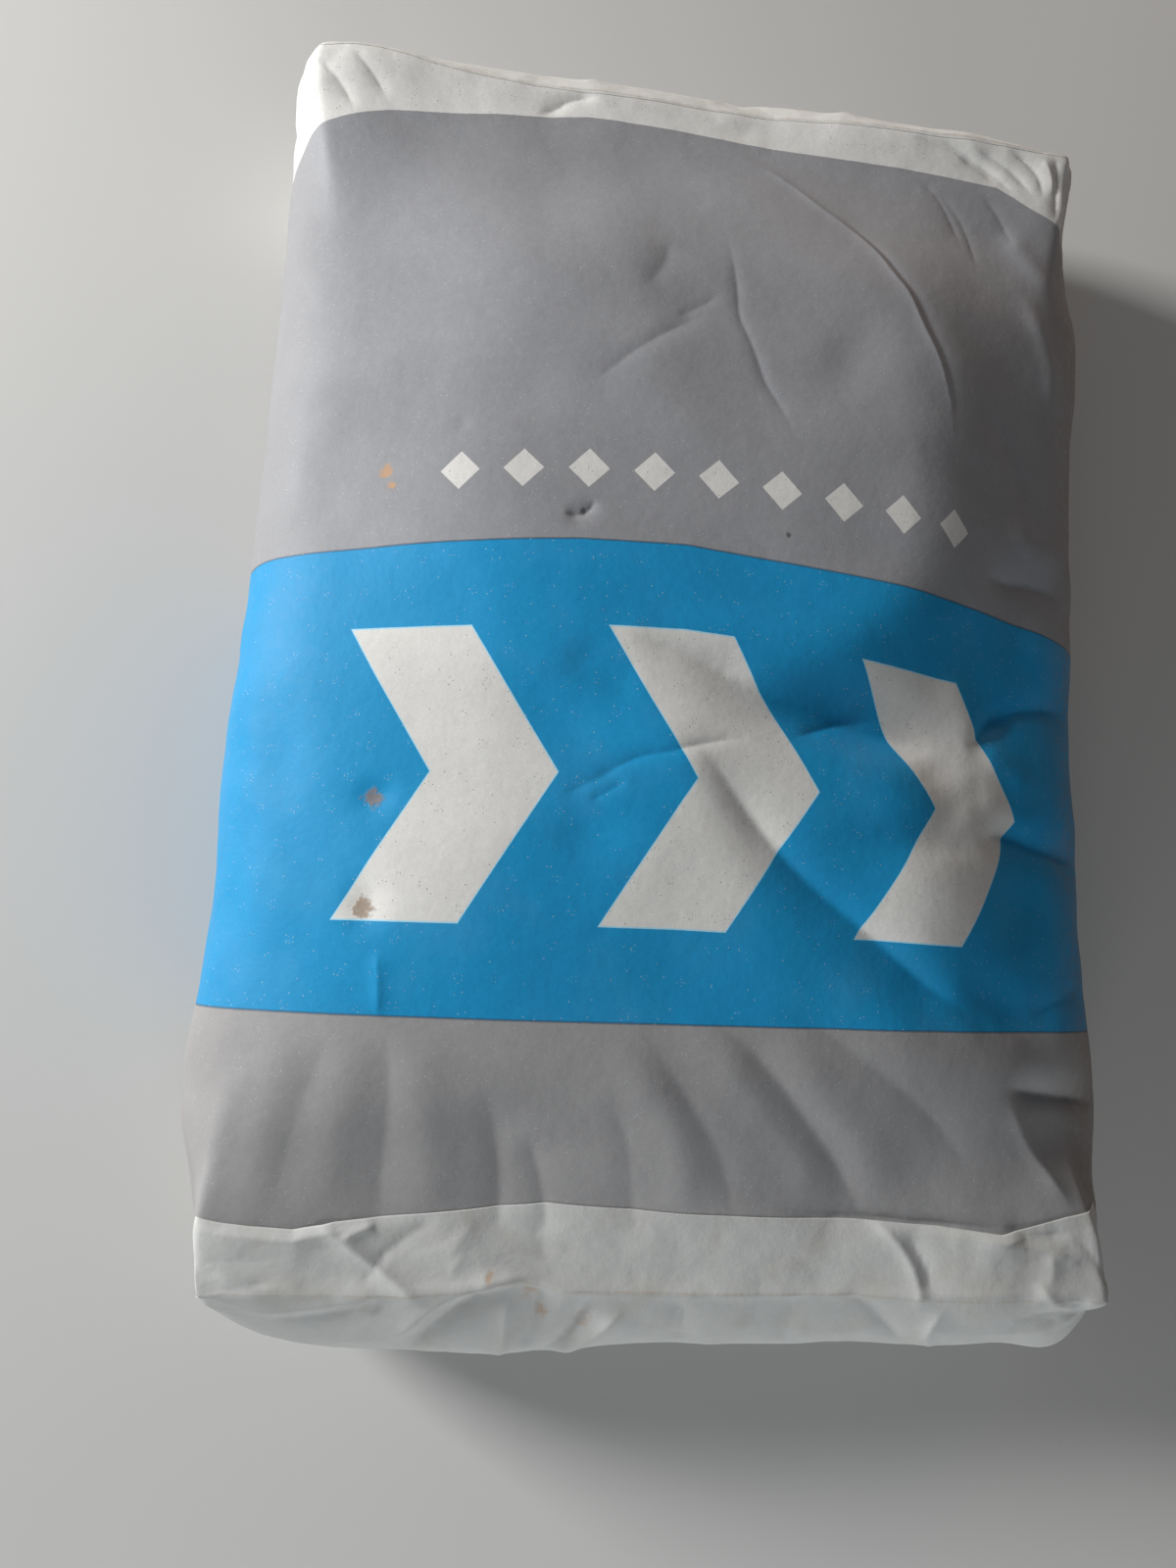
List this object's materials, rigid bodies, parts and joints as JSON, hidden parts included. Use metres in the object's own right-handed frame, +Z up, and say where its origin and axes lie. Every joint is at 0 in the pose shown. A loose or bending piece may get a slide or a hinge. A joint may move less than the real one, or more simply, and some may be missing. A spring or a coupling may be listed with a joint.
{
  "type": "cement bag",
  "caption": "Filled paper valve sack of cement, lying flat, with pasted block ends covered by glued cap sheets.",
  "frame": {"origin": "on the floor under the middle of the bag's box", "axes": "+X across the bag, +Y along it towards the valve end, +Z up out of the upper panel"},
  "size_m": [0.4024, 0.5916, 0.125],
  "materials": {
    "printed_paper": "satin ink on sack paper, warm grey with a blue band and bare white at the valve end",
    "bleached_paper": "matt, white, soiled at the folds",
    "kraft_paper": "matt, unbleached brown"
  },
  "bodies": {
    "root": {"sack": "printed_paper", "base_cap": "bleached_paper", "valve_cap": "bleached_paper", "valve_mouth": "kraft_paper"}
  },
  "joints": []
}
